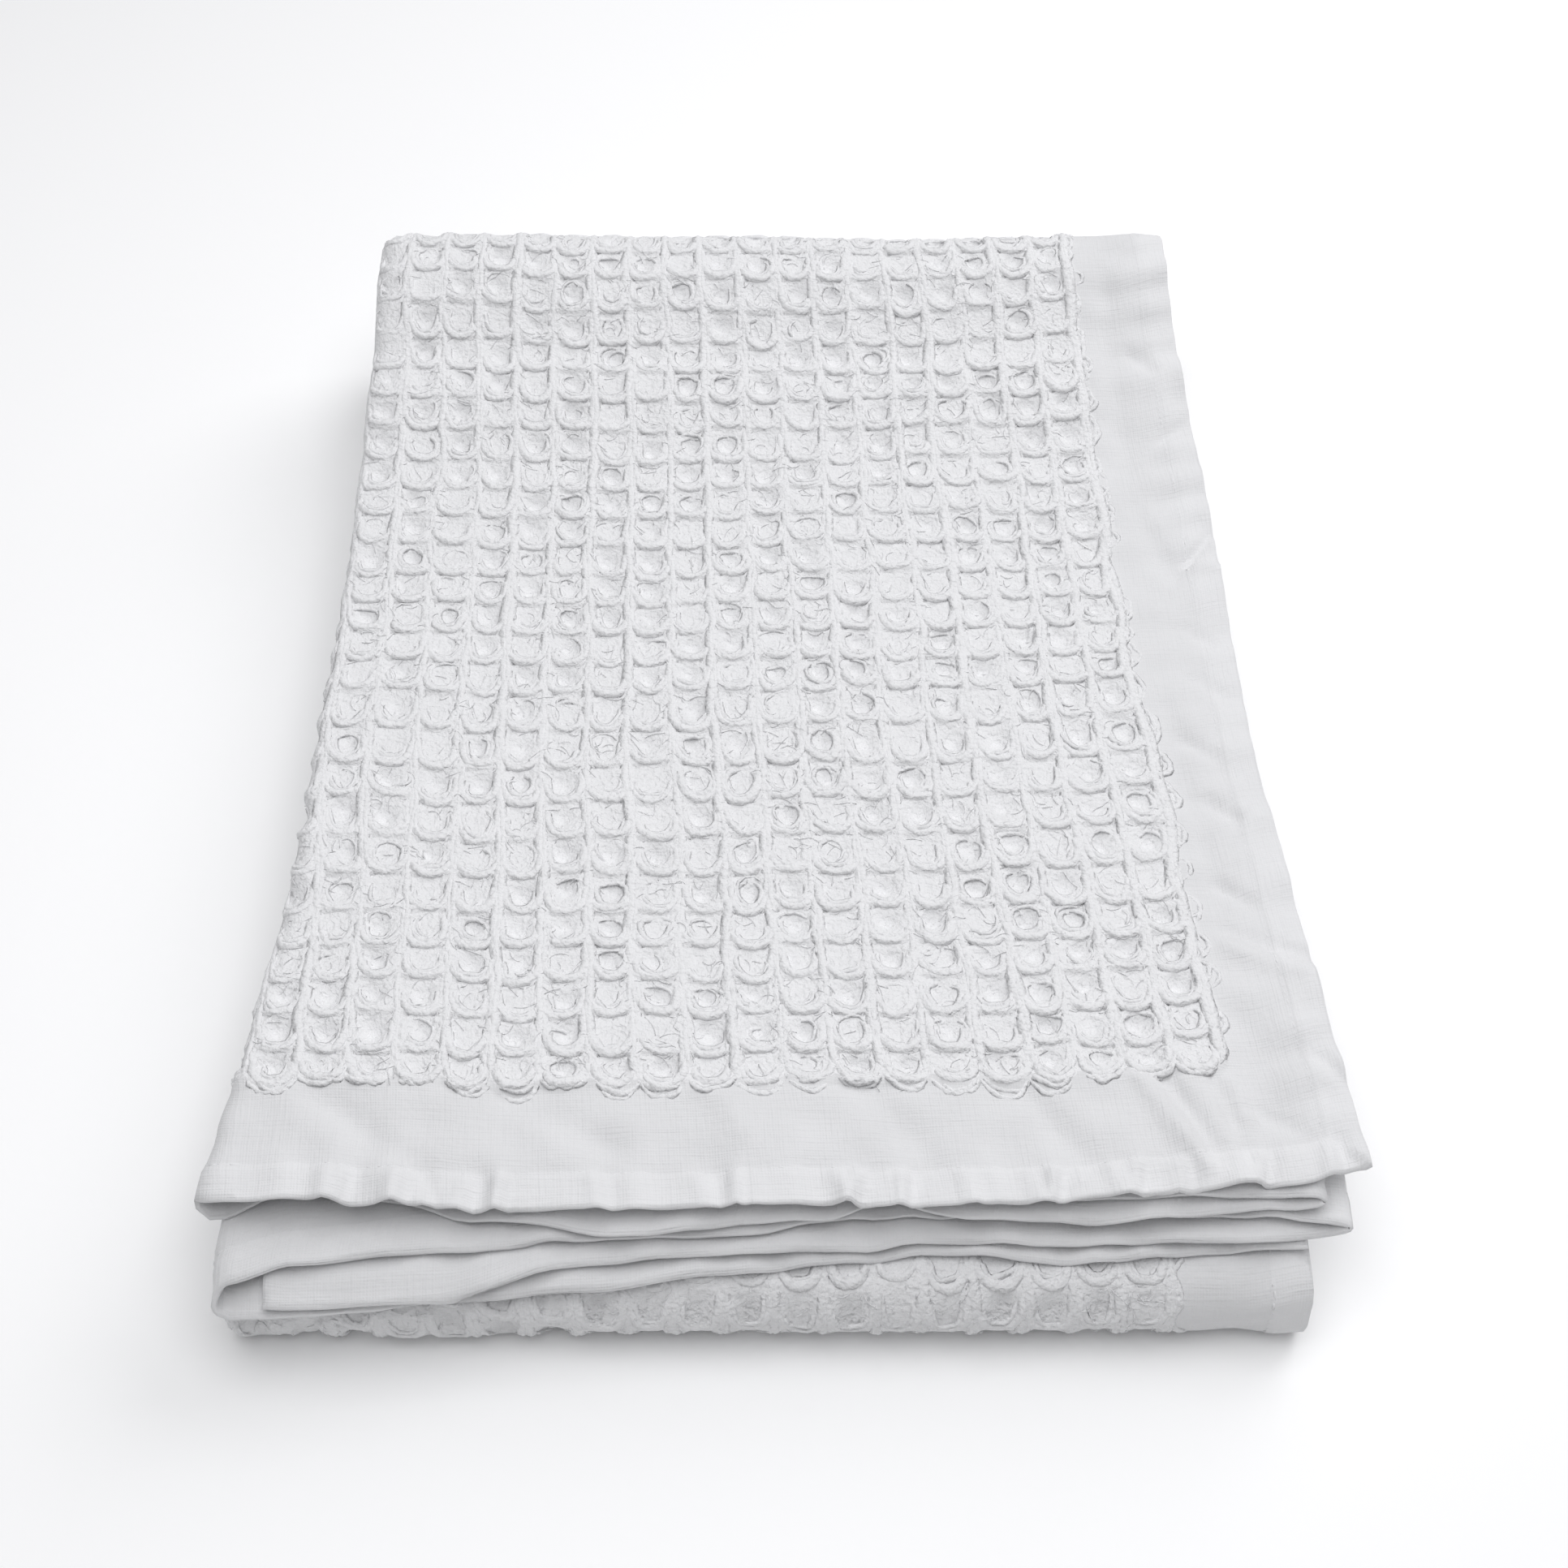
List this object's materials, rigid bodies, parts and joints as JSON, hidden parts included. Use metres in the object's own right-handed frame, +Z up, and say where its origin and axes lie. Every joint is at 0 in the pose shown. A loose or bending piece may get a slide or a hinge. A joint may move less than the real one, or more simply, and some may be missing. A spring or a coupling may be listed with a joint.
{
  "type": "bath sheet",
  "caption": "Large linen bath sheet of honeycomb cloth with plain woven borders, rolled in three and folded twice into a flat stack.",
  "frame": {"origin": "on the surface that the stack rests on, under the middle of its plan", "axes": "+Z up, +X along the open hems to the right, +Y from the open hems to the folds at the back"},
  "size_m": [0.357, 0.4856, 0.08],
  "materials": {
    "linen": "white washed linen, matt"
  },
  "bodies": {
    "root": {"bath_sheet": "linen"}
  },
  "joints": []
}
